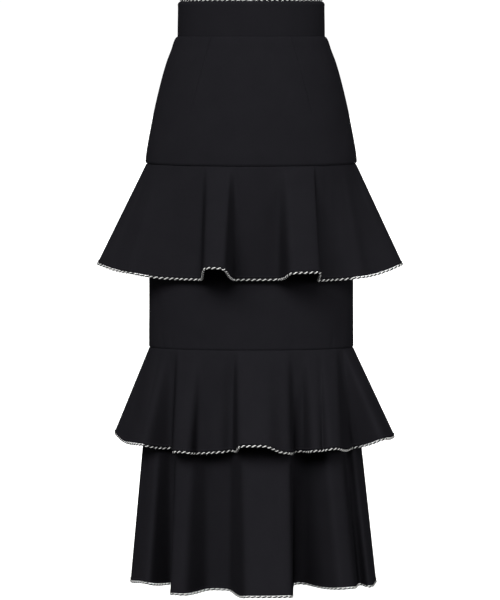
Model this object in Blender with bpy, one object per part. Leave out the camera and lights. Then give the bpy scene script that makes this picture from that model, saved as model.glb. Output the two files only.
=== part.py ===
"""Tiered midi skirt with three flounces, standing hollow as it is worn. Metres, +Z up.

The front faces -Y and the wearer's left is +X. The origin is the middle of the waist,
halfway up the waistband. Angles go round the skirt in degrees: 0 is centre front, 90 is
the wearer's left side seam and 180 is centre back.
"""

import math
from collections import namedtuple

import bmesh
import bpy
from mathutils import Vector

# Upright sizes, from the cut pieces
BAND_HEIGHT = 0.0556
HIP_HEIGHT = 0.1976
MIDDLE_HEIGHT = 0.2917
BAND_TOP = BAND_HEIGHT / 2
WAIST_SEAM = -BAND_HEIGHT / 2
UPPER_SEAM = WAIST_SEAM - HIP_HEIGHT
LOWER_SEAM = UPPER_SEAM - MIDDLE_HEIGHT

# Cloth, seams and trim
CLOTH = 0.0014
BAND_CLOTH = 0.0024
SEAM_GAP = 0.0003
SEAM_STEP = 0.0010
BAND_ROLL = 0.0046
CORD_RADIUS = 0.0019
CORD_SIDES = 5

# How far each seam's front hangs below its sides
UPPER_SEAM_DIP = 0.0018
LOWER_SEAM_DIP = -0.0035

Section = namedtuple("Section", "height half_width front_depth back_depth")
Stretch = namedtuple("Stretch", "start end reach swing lift")
Flounce = namedtuple("Flounce", "seam length inset stretches")
Dart = namedtuple("Dart", "top_angle tip_angle length")

# The garment's outer shape from waist seam to lower seam, one row for each level
BODY = (
    Section(WAIST_SEAM, 0.1162, 0.0890, 0.0900),
    Section(WAIST_SEAM - 0.004, 0.1190, 0.0908, 0.0922),
    Section(WAIST_SEAM - 0.020, 0.1247, 0.0940, 0.0962),
    Section(WAIST_SEAM - 0.040, 0.1323, 0.0985, 0.1015),
    Section(WAIST_SEAM - 0.090, 0.1460, 0.1075, 0.1130),
    Section(WAIST_SEAM - 0.140, 0.1567, 0.1130, 0.1195),
    Section(UPPER_SEAM, 0.1658, 0.1160, 0.1220),
    Section(UPPER_SEAM - 0.090, 0.1616, 0.1140, 0.1185),
    Section(UPPER_SEAM - 0.200, 0.1602, 0.1130, 0.1160),
    Section(LOWER_SEAM, 0.1607, 0.1132, 0.1160),
)
BAND = Section(0.0, 0.1158, 0.0888, 0.0898)

# The hem of each flounce, one row for each crest or hollow, round from the left side.
# Between its two seam angles a stretch hangs as one: its hem stands `reach` away from the
# seam, towards the plan direction `swing`, and `lift` higher than an even cut would hang.
UPPER_FLOUNCE = Flounce(UPPER_SEAM, 0.1755, SEAM_STEP, (
    Stretch(-100, -80, 0.078, -90, 0.000),
    Stretch(-64, -60, 0.056, -68, 0.000),
    Stretch(-43, -27.5, 0.015, -12, 0.000),
    Stretch(-23.5, -12.5, 0.088, -4, 0.000),
    Stretch(-8, 14, 0.012, 0, 0.001),
    Stretch(20, 26, 0.071, 4, 0.000),
    Stretch(30, 35.5, 0.072, 9, 0.000),
    Stretch(37.5, 50, 0.014, 14, -0.002),
    Stretch(62, 66, 0.036, 60, -0.002),
    Stretch(80, 100, 0.0743, 90, 0.001),
    Stretch(110, 117, 0.018, 112, 0.000),
    Stretch(125, 138, 0.075, 140, 0.002),
    Stretch(146, 155, 0.012, 150, 0.000),
    Stretch(162, 176, 0.080, 170, 0.000),
    Stretch(183, 190, 0.012, 186, 0.000),
    Stretch(197, 209, 0.068, 201, 0.000),
    Stretch(216, 226, 0.013, 222, 0.000),
    Stretch(233, 244, 0.073, 229, 0.002),
    Stretch(250, 254, 0.022, 250, 0.000),
))
MIDDLE_FLOUNCE = Flounce(LOWER_SEAM, 0.1620, SEAM_STEP, (
    Stretch(-98, -84, 0.0702, -125, 0.006),
    Stretch(-73, -57, 0.042, -52, 0.009),
    Stretch(-49.5, -48, 0.015, 196, 0.006),
    Stretch(-44, -34, 0.052, -10, 0.000),
    Stretch(-27.5, -24.5, 0.020, -24, 0.003),
    Stretch(-18, -16, 0.024, -8, 0.005),
    Stretch(-11.5, -10, 0.012, -3, 0.008),
    Stretch(-6.5, 8, 0.084, 0, 0.000),
    Stretch(16, 18.5, 0.064, 6, -0.003),
    Stretch(24.5, 28.5, 0.012, 10, 0.006),
    Stretch(35, 38.5, 0.054, 6, 0.002),
    Stretch(41.5, 42.5, 0.046, 4, 0.003),
    Stretch(45, 55, 0.066, 5, 0.000),
    Stretch(59, 61, 0.022, 98, 0.006),
    Stretch(66, 71, 0.070, 57, 0.008),
    Stretch(84, 98, 0.0665, 90, 0.007),
    Stretch(109, 114, 0.044, 108, 0.004),
    Stretch(122, 132, 0.078, 138, 0.000),
    Stretch(139, 144, 0.044, 142, 0.002),
    Stretch(152, 164, 0.082, 160, 0.000),
    Stretch(171, 176, 0.046, 174, 0.000),
    Stretch(184, 190, 0.070, 186, 0.000),
    Stretch(197, 201, 0.042, 198, 0.002),
    Stretch(208, 219, 0.080, 206, 0.000),
    Stretch(226, 231, 0.044, 227, 0.003),
    Stretch(239, 247, 0.074, 226, 0.004),
    Stretch(253, 256, 0.050, 240, 0.006),
))
BOTTOM_FLOUNCE = Flounce(LOWER_SEAM, 0.3815, SEAM_STEP + CLOTH + 0.0005, (
    Stretch(-100, -80, 0.036, -105, 0.007),
    Stretch(-73, -61, 0.028, -62, 0.012),
    Stretch(-50, -48.5, 0.058, 184, 0.000),
    Stretch(-43.5, -34, 0.038, -27, 0.001),
    Stretch(-24, -13, 0.020, 180, 0.004),
    Stretch(-5, 20, 0.084, 5, 0.000),
    Stretch(26, 31, 0.048, 182, 0.006),
    Stretch(41, 52, 0.048, 48, 0.008),
    Stretch(56.5, 57.5, 0.052, 132, 0.002),
    Stretch(66, 72, 0.042, 85, 0.003),
    Stretch(80, 97, 0.047, 116, 0.003),
    Stretch(110, 116, 0.024, -60, 0.004),
    Stretch(125, 137, 0.060, 140, 0.000),
    Stretch(146, 152, 0.036, -25, 0.004),
    Stretch(161, 177, 0.074, 168, 0.000),
    Stretch(186, 192, 0.038, 10, 0.005),
    Stretch(201, 213, 0.064, 202, 0.000),
    Stretch(223, 229, 0.036, 30, 0.005),
    Stretch(239, 249, 0.050, 230, 0.003),
))

# Darts: the angle at the waist seam, the angle at the tip, and the length down the panel
FRONT_DART = Dart(31.5, 38.0, 0.114)
BACK_DART = Dart(149.0, 145.0, 0.096)
DART_HALF_ANGLE = 1.2
DART_DEPTH = 0.0006

# Mesh density
FLOUNCE_COLUMNS = 60
PANEL_COLUMNS = 23
HALF_PANEL_COLUMNS = 12
BODY_ROWS = 5
SHORT_FLOUNCE_ROWS = 4
LONG_FLOUNCE_ROWS = 6
HEM_STEPS = 1440
FOLD_ROUNDING = 0.0060
BEND_WEIGHT = 0.020

# Concealed zip at centre back
ZIP_TOP = BAND_TOP - 0.006
ZIP_LENGTH = 0.200
TAPE_WIDTH = 0.012
TAPE_CLOTH = 0.0010
TAPE_CLEAR = 0.0013
COIL_WIDTH = 0.0022
COIL_DEPTH = 0.0018
SLIDER = Vector((0.0052, 0.0020, 0.0100))
BRIDGE_WIDTH = 0.0018
BRIDGE_BAR = 0.0008
BRIDGE_HALF_HEIGHT = 0.0032
BRIDGE_CLEAR = 0.0018
PULL_BAR = 0.0006
PULL_LENGTH = 0.0210
PULL_EYE_LENGTH = 0.0043
PULL_EYE_WIDTH = 0.0028
PULL_WIDTHS = (0.0050, 0.0044, 0.0058, 0.0048)
PULL_CLOTH_CLEARANCE = SLIDER.y + SEAM_GAP + BRIDGE_CLEAR / 2


def ease(share):
    """A smooth step from 0 to 1."""
    share = min(max(share, 0.0), 1.0)
    return share * share * (3 - 2 * share)


def body_section(height):
    """The body's section at a height, on a smooth curve through the rows of BODY."""
    height = min(max(height, BODY[-1].height), BODY[0].height)
    below = next(i for i in range(1, len(BODY)) if BODY[i].height <= height)
    rows = [BODY[min(max(i, 0), len(BODY) - 1)] for i in range(below - 2, below + 2)]
    share = (rows[1].height - height) / (rows[1].height - rows[2].height)
    sizes = []
    for column in range(1, len(Section._fields)):
        before, start, end, after = (row[column] for row in rows)
        spans = [(rows[i].height - rows[i + 1].height) or 1.0 for i in range(3)]
        slope = (end - start) / spans[1]
        start_slope = (slope + (start - before) / spans[0]) / 2 if before != start else slope
        end_slope = (slope + (after - end) / spans[2]) / 2 if after != end else slope
        t = share
        sizes.append(
            (2 * t**3 - 3 * t**2 + 1) * start
            + (t**3 - 2 * t**2 + t) * spans[1] * start_slope
            + (3 * t**2 - 2 * t**3) * end
            + (t**3 - t**2) * spans[1] * end_slope
        )
    return Section(height, *sizes)


def ring_point(section, angle, inset=0.0):
    """A point on a section's outline, moved in by the inset, at the section's height."""
    turn = math.radians(angle)
    across, along = math.sin(turn), -math.cos(turn)
    depth = section.front_depth if along < 0 else section.back_depth
    point = Vector((section.half_width * across, depth * along, section.height))
    out = Vector((across / section.half_width, along / depth, 0)).normalized()
    return point - out * inset


def seam_sag(angle, height):
    """How far the cloth hangs below a level ring, which grows from one seam to the next."""
    front = max(math.cos(math.radians(angle)), 0.0)
    if height > UPPER_SEAM:
        return UPPER_SEAM_DIP * front * (WAIST_SEAM - height) / HIP_HEIGHT
    share = (UPPER_SEAM - height) / MIDDLE_HEIGHT
    return front * (UPPER_SEAM_DIP * (1 - share) + LOWER_SEAM_DIP * share)


def body_point(angle, height, inset=0.0):
    point = ring_point(body_section(height), angle, inset)
    point.z -= seam_sag(angle, height)
    return point


def hem_offset(stretches, angle):
    """The hem's plan offset from its seam, with its lift as the height, at a seam angle."""
    def held(stretch):
        swing = math.radians(stretch.swing)
        across, along = math.sin(swing) * stretch.reach, -math.cos(swing) * stretch.reach
        return Vector((across, along, stretch.lift))

    first = stretches[0].start
    angle = (angle - first) % 360 + first
    for stretch, following in zip(stretches, stretches[1:] + stretches[:1]):
        turn = 360 if following.start < stretch.start else 0
        if angle <= stretch.end:
            return held(stretch)
        if angle < following.start + turn:
            share = (angle - stretch.end) / (following.start + turn - stretch.end)
            return held(stretch).lerp(held(following), ease(share))
    return held(stretches[0])


def plan_gap(one, other):
    return math.hypot(one[0] - other[0], one[1] - other[1])


def hem_line(flounce):
    """The hem as even steps round the skirt: seam angle, plan offset and drop from the seam.

    The stretches give a line with sharp turns, so it is walked in even steps and each step
    is averaged with its neighbours, because cloth turns in round folds.
    """
    count = HEM_STEPS
    angles = [-180 + 360 * i / count for i in range(count + 1)]
    line = []
    for angle in angles:
        offset = hem_offset(flounce.stretches, angle)
        seam = body_point(angle, flounce.seam, flounce.inset)
        line.append((seam.x + offset.x, seam.y + offset.y, offset.z, angle))
    run = [0.0]
    for here, there in zip(line, line[1:]):
        run.append(run[-1] + plan_gap(here, there))
    steps, at = [], 0
    for i in range(count):
        wanted = run[-1] * i / count
        while run[at + 1] < wanted:
            at += 1
        share = (wanted - run[at]) / (run[at + 1] - run[at])
        x, y, lift, angle = (a + (b - a) * share for a, b in zip(line[at], line[at + 1]))
        steps.append((x, y, lift, angle - 360 * i / count))
    for _ in range(round(2 * (FOLD_ROUNDING * count / run[-1]) ** 2)):
        steps = [
            tuple((a + 2 * b + c) / 4 for a, b, c in zip(steps[i - 1], steps[i], steps[i + 1 - count]))
            for i in range(count)
        ]
    hem = []
    for i, (x, y, lift, lag) in enumerate(steps):
        angle = lag + 360 * i / count
        seam = body_point(angle, flounce.seam, flounce.inset)
        x, y = x - seam.x, y - seam.y
        hem.append((angle, x, y, math.sqrt(flounce.length**2 - x**2 - y**2) - lift))
    return hem


def flounce_surface(flounce, hem):
    """The flounce's outer face as a function of the hem step and the share of the way down."""
    def surface(step, share):
        low = math.floor(step)
        here, there = hem[low % HEM_STEPS], hem[(low + 1) % HEM_STEPS]
        turn = 360 if low % HEM_STEPS == HEM_STEPS - 1 else 0
        part = step - low
        angle = here[0] + (there[0] + turn - here[0]) * part
        x, y, drop = (a + (b - a) * part for a, b in zip(here[1:], there[1:]))
        top = body_point(angle, flounce.seam, flounce.inset)
        return Vector((top.x + x * share, top.y + y * share, top.z - SEAM_GAP - drop * share))

    return surface


def facing(surface, step, share):
    """The outward direction of a surface, from two short moves along it."""
    across = surface(step + 0.5, share) - surface(step - 0.5, share)
    down = surface(step, share + 0.002) - surface(step, share - 0.002)
    return down.cross(across).normalized()


def step_at(hem, angle):
    """The hem step at a seam angle."""
    count = len(hem)
    turns = [hem[i % count][0] + 360 * (i // count) for i in range(2 * count)]
    low = next(i for i in range(2 * count) if turns[i + 1] > angle)
    return low + (angle - turns[low]) / (turns[low + 1] - turns[low])


def fold_columns(surface, start, end, count):
    """Hem steps for a mesh's columns, which stand closer together where the hem bends."""
    steps = spread(start, end, round(end - start) + 1)
    hem = [surface(step, 1.0).xy for step in steps]
    run = [0.0]
    for i in range(1, len(steps)):
        ahead = hem[min(i + 1, len(hem) - 1)] - hem[i]
        behind = hem[i] - hem[i - 1]
        bend = ahead.angle(behind, 0.0)
        run.append(run[-1] + behind.length + bend * BEND_WEIGHT)
    columns, at = [], 0
    for i in range(count):
        wanted = run[-1] * i / (count - 1)
        while at < len(run) - 2 and run[at + 1] < wanted:
            at += 1
        share = min((wanted - run[at]) / (run[at + 1] - run[at]), 1.0)
        columns.append(steps[at] + (steps[at + 1] - steps[at]) * share)
    return columns


def material(name, colour, roughness, metallic=0.0):
    made = bpy.data.materials.new(name)
    made.use_nodes = True
    shader = made.node_tree.nodes["Principled BSDF"]
    shader.inputs["Base Color"].default_value = (*colour, 1.0)
    shader.inputs["Roughness"].default_value = roughness
    shader.inputs["Metallic"].default_value = metallic
    return made


def solid(name, mesh, finish, origin=Vector()):
    """An object from a bmesh, with its faces turned outwards."""
    bmesh.ops.recalc_face_normals(mesh, faces=mesh.faces)
    bmesh.ops.translate(mesh, verts=mesh.verts, vec=-origin)
    data = bpy.data.meshes.new(name)
    mesh.to_mesh(data)
    mesh.free()
    data.materials.append(finish)
    data.shade_smooth()
    data.set_sharp_from_angle(angle=math.radians(50))
    made = bpy.data.objects.new(name, data)
    made.location = origin
    bpy.context.scene.collection.objects.link(made)
    return made


def wall(name, outer, inner, finish):
    """A cloth wall between two grids of points, closed round its four edges."""
    mesh = bmesh.new()
    faces = [[[mesh.verts.new(point) for point in row] for row in grid] for grid in (outer, inner)]
    rows, columns = len(outer), len(outer[0])
    for grid in faces:
        for i in range(rows - 1):
            for j in range(columns - 1):
                mesh.faces.new((grid[i][j], grid[i + 1][j], grid[i + 1][j + 1], grid[i][j + 1]))
    out, back = faces
    for row in (0, rows - 1):
        for j in range(columns - 1):
            mesh.faces.new((out[row][j], out[row][j + 1], back[row][j + 1], back[row][j]))
    for column in (0, columns - 1):
        for i in range(rows - 1):
            mesh.faces.new((out[i][column], out[i + 1][column], back[i + 1][column], back[i][column]))
    return solid(name, mesh, finish)


def edge_angle(section):
    """The turn that leaves half a seam gap at a piece's upright edge."""
    return math.degrees(SEAM_GAP / 2 / min(section.front_depth, section.half_width))


def spread(start, end, count):
    return [start + (end - start) * i / (count - 1) for i in range(count)]


def band_piece(name, start, end, columns, finish):
    """A waistband piece. Its top edge rolls inwards, where the cord is sewn to it."""
    trim = edge_angle(BAND)
    angles = spread(start + trim, end - trim, columns)
    profile = [(0.0, WAIST_SEAM + SEAM_GAP), (0.0, BAND_TOP - BAND_ROLL * 1.25)]
    for turn in (30, 60, 90):
        inset = BAND_ROLL * (1 - math.cos(math.radians(turn)))
        profile.append((inset, BAND_TOP - BAND_ROLL * 1.25 * (1 - math.sin(math.radians(turn)))))
    outer, inner = [], []
    for i, (inset, height) in enumerate(profile):
        before, after = profile[max(i - 1, 0)], profile[min(i + 1, len(profile) - 1)]
        along = Vector((after[0] - before[0], after[1] - before[1])).normalized()
        back = (inset + along.y * BAND_CLOTH, height - along.x * BAND_CLOTH)
        section, inner_section = BAND._replace(height=height), BAND._replace(height=back[1])
        outer.append([ring_point(section, angle, inset) for angle in angles])
        inner.append([ring_point(inner_section, angle, back[0]) for angle in angles])
    return wall(name, outer, inner, finish)


def dart_share(drop, dart):
    return min(drop / dart.length, 1.0)


def dart_angle(dart, drop):
    return dart.top_angle + (dart.tip_angle - dart.top_angle) * dart_share(drop, dart)


def hip_piece(name, start, end, darts, finish):
    """A hip panel. Its darts are shallow sewn grooves in the outer face."""
    section = body_section(WAIST_SEAM)
    trim = edge_angle(section)
    count = PANEL_COLUMNS if end - start > 90 else HALF_PANEL_COLUMNS
    plain = spread(start + trim, end - trim, count)
    bands = [[dart.top_angle + side * DART_HALF_ANGLE for side in (-1, 0, 1)] for dart in darts]
    clear = 2 * DART_HALF_ANGLE
    columns = [a for a in plain if all(abs(a - band[1]) > clear for band in bands)]
    columns = sorted(columns + [angle for band in bands for angle in band])
    heights = sorted(
        set(spread(WAIST_SEAM, UPPER_SEAM, BODY_ROWS + 1))
        | {WAIST_SEAM - 0.004}
        | {WAIST_SEAM - dart.length for dart in darts},
        reverse=True,
    )
    outer, inner = [], []
    for height in heights:
        drop = WAIST_SEAM - height
        outer_row, inner_row = [], []
        for column in columns:
            angle, depth = column, 0.0
            for dart in darts:
                shift = dart_angle(dart, drop) - dart.top_angle
                near = max(0.0, 1 - abs(column - dart.top_angle) / (16 * DART_HALF_ANGLE))
                angle += shift * ease(near)
                if abs(column - dart.top_angle) < DART_HALF_ANGLE / 2:
                    depth = DART_DEPTH * (1 - dart_share(drop, dart))
            outer_row.append(body_point(angle, height, depth))
            inner_row.append(body_point(angle, height, CLOTH))
        outer.append(outer_row)
        inner.append(inner_row)
    return wall(name, outer, inner, finish)


def middle_piece(name, start, end, finish):
    """The straight panel between the seams. Its top lies inside the upper flounce."""
    trim = edge_angle(body_section(LOWER_SEAM))
    angles = spread(start + trim, end - trim, PANEL_COLUMNS)
    tuck = SEAM_STEP + CLOTH + 0.0005
    outer, inner = [], []
    for height in spread(UPPER_SEAM - SEAM_GAP, LOWER_SEAM, BODY_ROWS):
        inset = tuck * (1 - ease((UPPER_SEAM - height) / (MIDDLE_HEIGHT / 3)))
        outer.append([body_point(angle, height, inset) for angle in angles])
        inner.append([body_point(angle, height, inset + CLOTH) for angle in angles])
    return wall(name, outer, inner, finish)


def flounce_pieces(name, flounce, rows, finish):
    """The front and back of a flounce. Returns its surface and its columns, for the cord."""
    hem = hem_line(flounce)
    surface = flounce_surface(flounce, hem)
    trim = edge_angle(body_section(flounce.seam))
    hem_columns = []
    for side, start, end in (("front", -90, 90), ("back", 90, 270)):
        first, last = step_at(hem, start + trim), step_at(hem, end - trim)
        columns = fold_columns(surface, first, last, FLOUNCE_COLUMNS)
        outer, inner = [], []
        for share in spread(0.0, 1.0, rows):
            outer.append([surface(step, share) for step in columns])
            inner.append([
                surface(step, share) - facing(surface, step, share) * CLOTH for step in columns
            ])
        wall(f"{name}_{side}", outer, inner, finish)
        hem_columns += columns
    return surface, hem_columns


def tube(name, frames, radius, closed, finish):
    """A round cord through frames of centre, first and second cross direction."""
    mesh = bmesh.new()
    turns = [2 * math.pi * i / CORD_SIDES for i in range(CORD_SIDES)]
    rings = [
        [mesh.verts.new(centre + radius * (math.cos(t) * one + math.sin(t) * two)) for t in turns]
        for centre, one, two in frames
    ]
    for i in range(len(rings) if closed else len(rings) - 1):
        here, there = rings[i], rings[(i + 1) % len(rings)]
        for j in range(CORD_SIDES):
            k = (j + 1) % CORD_SIDES
            mesh.faces.new((here[j], here[k], there[k], there[j]))
    if not closed:
        mesh.faces.new(rings[0])
        mesh.faces.new(rings[-1])
    return solid(name, mesh, finish)


def hem_cord(name, surface, columns, finish):
    """The cord sewn along a hem, just under the cloth's edge."""
    frames = []
    for step in columns:
        out = facing(surface, step, 1.0)
        down = (surface(step, 1.0) - surface(step, 0.98)).normalized()
        centre = surface(step, 1.0) - out * CLOTH / 2 + down * (CORD_RADIUS + SEAM_GAP)
        frames.append((centre, out, down))
    return tube(name, frames, CORD_RADIUS, True, finish)


def waist_cord(finish):
    """The cord on the waistband's rolled top edge, open at the centre-back zip."""
    cord_height = BAND_TOP + CORD_RADIUS + SEAM_GAP
    section = BAND._replace(height=cord_height)
    inset = BAND_ROLL + BAND_CLOTH / 4
    frames = []
    for angle in spread(-178.4, 178.4, 2 * PANEL_COLUMNS):
        centre = ring_point(section, angle, inset)
        out = (centre - ring_point(section, angle, inset + 0.01)).normalized()
        frames.append((centre, out, Vector((0, 0, 1))))
    return tube("waist_cord", frames, CORD_RADIUS, False, finish)


def inside_back(height):
    """The inner face of the centre back, band or hip panel, whichever lies further in."""
    band_inside = BAND.back_depth - BAND_CLOTH
    if height > WAIST_SEAM + 0.004:
        return band_inside
    hip_inside = body_section(height).back_depth - CLOTH
    return min(hip_inside, band_inside + max(0.0, WAIST_SEAM - 0.004 - height))


def zip_tape(name, side, finish):
    """One zip tape inside the back, with its coil as a thicker edge."""
    near, far = 0.0003, TAPE_WIDTH
    profile = [
        (near, 0.0), (far, 0.0), (far, TAPE_CLOTH), (near + COIL_WIDTH, TAPE_CLOTH),
        (near + COIL_WIDTH, TAPE_CLOTH + COIL_DEPTH), (near, TAPE_CLOTH + COIL_DEPTH),
    ]
    mesh = bmesh.new()
    rings = []
    for height in spread(ZIP_TOP, ZIP_TOP - ZIP_LENGTH, 14):
        ring = []
        for across, depth in profile:
            curve = across**2 / (2 * BAND.half_width)
            y = inside_back(height) - TAPE_CLEAR - curve - depth
            ring.append(mesh.verts.new((side * across, y, height)))
        rings.append(ring)
    for here, there in zip(rings, rings[1:]):
        for j in range(len(profile)):
            k = (j + 1) % len(profile)
            mesh.faces.new((here[j], here[k], there[k], there[j]))
    mesh.faces.new(rings[0])
    mesh.faces.new(rings[-1])
    return solid(name, mesh, finish)


def block(mesh, low, high):
    """Adds a box between two corners to a bmesh."""
    made = bmesh.ops.create_cube(mesh, size=1.0)["verts"]
    bmesh.ops.scale(mesh, verts=made, vec=high - low)
    bmesh.ops.translate(mesh, verts=made, vec=(high + low) / 2)
    return made


def axis_point():
    """The middle of the pull tab's hinge."""
    return Vector((0, BAND.back_depth + PULL_CLOTH_CLEARANCE, ZIP_TOP - SLIDER.z / 2))


def zip_slider(finish):
    """The slider on the outside of the band, with the bridge that the pull hangs on."""
    face = BAND.back_depth + SEAM_GAP
    hinge = axis_point()
    front = face + SLIDER.y
    mesh = bmesh.new()
    block(mesh, Vector((-SLIDER.x / 2, face, hinge.z - SLIDER.z / 2)),
          Vector((SLIDER.x / 2, front, hinge.z + SLIDER.z / 2)))
    edges = [e for e in mesh.edges if abs((e.verts[0].co - e.verts[1].co).y) > SLIDER.y / 2]
    bmesh.ops.bevel(mesh, geom=edges, offset=0.0012, segments=2, profile=0.5, affect="EDGES",
                    material=-1)
    body = solid("zip_slider", mesh, finish)
    reach = front + BRIDGE_CLEAR + BRIDGE_BAR
    half = BRIDGE_WIDTH / 2
    bridge = bmesh.new()
    foot = BRIDGE_HALF_HEIGHT - BRIDGE_BAR
    points = (
        (front - 0.0005, BRIDGE_HALF_HEIGHT), (front - 0.0005, foot),
        (front + BRIDGE_CLEAR, foot), (front + BRIDGE_CLEAR, -foot),
        (front - 0.0005, -foot), (front - 0.0005, -BRIDGE_HALF_HEIGHT),
        (reach - 0.0004, -BRIDGE_HALF_HEIGHT), (reach, -foot), (reach, foot),
        (reach - 0.0004, BRIDGE_HALF_HEIGHT),
    )
    side = [bridge.verts.new((-half, y, hinge.z + z)) for y, z in points]
    face_made = bridge.faces.new(side)
    made = bmesh.ops.extrude_face_region(bridge, geom=[face_made])["geom"]
    moved = [part for part in made if isinstance(part, bmesh.types.BMVert)]
    bmesh.ops.translate(bridge, verts=moved, vec=Vector((BRIDGE_WIDTH, 0, 0)))
    cutter = solid("zip_bridge", bridge, finish)
    cutter.hide_render = True
    cutter.display_type = "WIRE"
    union = body.modifiers.new("bridge", "BOOLEAN")
    union.operation = "UNION"
    union.object = cutter
    union.solver = "EXACT"
    return body


def zip_pull(finish):
    """The teardrop pull tab, hung from the bridge by its eye. Its origin is on the hinge."""
    hinge = axis_point()
    half = PULL_BAR
    eye_half = PULL_EYE_WIDTH / 2
    top, eye_end = PULL_BAR, -PULL_EYE_LENGTH
    widths = [width / 2 for width in PULL_WIDTHS]
    levels = (top, eye_end, -0.75 * PULL_LENGTH, -PULL_LENGTH + 0.0015)
    right = [(width, level) for width, level in zip(widths, levels)]
    tip = [(0.0014, -PULL_LENGTH)]
    outline = right + tip + [(-x, z) for x, z in reversed(right + tip)]
    hole = [(eye_half, -PULL_BAR), (eye_half, eye_end), (-eye_half, eye_end), (-eye_half, -PULL_BAR)]
    mesh = bmesh.new()
    loops = [[mesh.verts.new((x, -half, z)) for x, z in ring] for ring in (outline, hole)]
    edges = [mesh.edges.new((ring[i], ring[(i + 1) % len(ring)])) for ring in loops
             for i in range(len(ring))]
    flat = bmesh.ops.triangle_fill(mesh, edges=edges, use_beauty=True)["geom"]
    faces = [part for part in flat if isinstance(part, bmesh.types.BMFace)]
    made = bmesh.ops.extrude_face_region(mesh, geom=faces)["geom"]
    moved = [part for part in made if isinstance(part, bmesh.types.BMVert)]
    bmesh.ops.translate(mesh, verts=moved, vec=Vector((0, 2 * half, 0)))
    bmesh.ops.translate(mesh, verts=mesh.verts, vec=hinge)
    return solid("zip_pull", mesh, finish, origin=hinge)


def clear_scene():
    for made in list(bpy.data.objects):
        bpy.data.objects.remove(made)


def main():
    clear_scene()
    crepe = material("black_crepe", (0.012, 0.012, 0.014), 0.85)
    cord = material("twisted_cord", (0.32, 0.32, 0.32), 0.7)
    tape = material("zip_tape", (0.014, 0.014, 0.015), 0.8)
    metal = material("zip_enamel", (0.02, 0.02, 0.022), 0.35, 0.6)

    band_piece("waistband_front", -90, 90, PANEL_COLUMNS, crepe)
    band_piece("waistband_back_left", 90, 180, HALF_PANEL_COLUMNS, crepe)
    band_piece("waistband_back_right", 180, 270, HALF_PANEL_COLUMNS, crepe)

    mirrored = FRONT_DART._replace(top_angle=-FRONT_DART.top_angle, tip_angle=-FRONT_DART.tip_angle)
    right_back = BACK_DART._replace(
        top_angle=360 - BACK_DART.top_angle, tip_angle=360 - BACK_DART.tip_angle
    )
    hip_piece("hip_front", -90, 90, (mirrored, FRONT_DART), crepe)
    hip_piece("hip_back_left", 90, 180, (BACK_DART,), crepe)
    hip_piece("hip_back_right", 180, 270, (right_back,), crepe)
    middle_piece("middle_front", -90, 90, crepe)
    middle_piece("middle_back", 90, 270, crepe)

    for name, flounce, rows in (
        ("upper", UPPER_FLOUNCE, SHORT_FLOUNCE_ROWS),
        ("middle", MIDDLE_FLOUNCE, SHORT_FLOUNCE_ROWS),
        ("bottom", BOTTOM_FLOUNCE, LONG_FLOUNCE_ROWS),
    ):
        surface, columns = flounce_pieces(f"flounce_{name}", flounce, rows, crepe)
        hem_cord(f"hem_cord_{name}", surface, columns, cord)
    waist_cord(cord)

    zip_tape("zip_tape_left", 1, tape)
    zip_tape("zip_tape_right", -1, tape)
    zip_slider(metal)
    zip_pull(metal)


main()
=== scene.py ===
"""The looks of a tiered midi skirt: matte black crepe, twisted cord trim and a concealed zip.

The front faces -Y and the wearer's left is +X. Angles go round the skirt in degrees: 0 is
centre front, 90 is the wearer's left side seam and 180 is centre back.
"""

import math
from collections import namedtuple
from functools import lru_cache

import bmesh
import bpy
from mathutils import Matrix, Vector


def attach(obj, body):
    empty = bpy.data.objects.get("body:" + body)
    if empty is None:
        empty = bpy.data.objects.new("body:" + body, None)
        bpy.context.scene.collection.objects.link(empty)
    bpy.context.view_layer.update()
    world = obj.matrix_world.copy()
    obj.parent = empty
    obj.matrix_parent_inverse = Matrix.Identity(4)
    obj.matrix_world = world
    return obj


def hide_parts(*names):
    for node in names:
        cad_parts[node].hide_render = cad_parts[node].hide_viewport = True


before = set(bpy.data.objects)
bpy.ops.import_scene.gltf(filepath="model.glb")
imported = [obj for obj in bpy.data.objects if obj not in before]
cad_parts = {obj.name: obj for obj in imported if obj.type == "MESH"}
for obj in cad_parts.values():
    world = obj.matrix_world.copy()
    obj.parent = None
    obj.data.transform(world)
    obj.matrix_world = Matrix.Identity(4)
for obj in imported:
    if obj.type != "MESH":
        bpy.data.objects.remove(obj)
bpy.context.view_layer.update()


# The waistband: three straight pieces of black crepe over a firm band, joined at the sides
# and meeting over the centre-back zip. Its top edge rolls in to where the cord is sewn on.
# SEAM_GAP parts the tiers at a level seam, and SEWN_GAP the pieces at an upright one.
Section = namedtuple("Section", "height half_width front_depth back_depth")

BAND_HEIGHT = 0.0556
BAND_TOP = BAND_HEIGHT / 2
WAIST_SEAM = -BAND_HEIGHT / 2
BAND = Section(0.0, 0.1158, 0.0888, 0.0898)
BAND_CLOTH = 0.0024
BAND_ROLL = 0.0046
BAND_ROLL_DROP = BAND_ROLL * 1.25
SEAM_GAP = 0.0001
SEWN_GAP = 0.000002
BAND_COLUMNS = 64
BAND_ROWS = 24
BAND_ROLL_SHARE = 0.35
BAND_BOW = 0.0003
BAND_EDGE = 0.0006
EDGE_CORNER = 55
CUT_STEPS = 48
PIECES = {
    "waistband_front": (-90, 90), "waistband_back_left": (90, 180),
    "waistband_back_right": (180, 270), "hip_front": (-90, 90), "hip_back_left": (90, 180),
    "hip_back_right": (180, 270), "middle_front": (-90, 90), "middle_back": (90, 270),
}
CREPE_BLACK = (0.0078, 0.0075, 0.0094)
CREPE_WORN = (0.0164, 0.0160, 0.0187)


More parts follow.
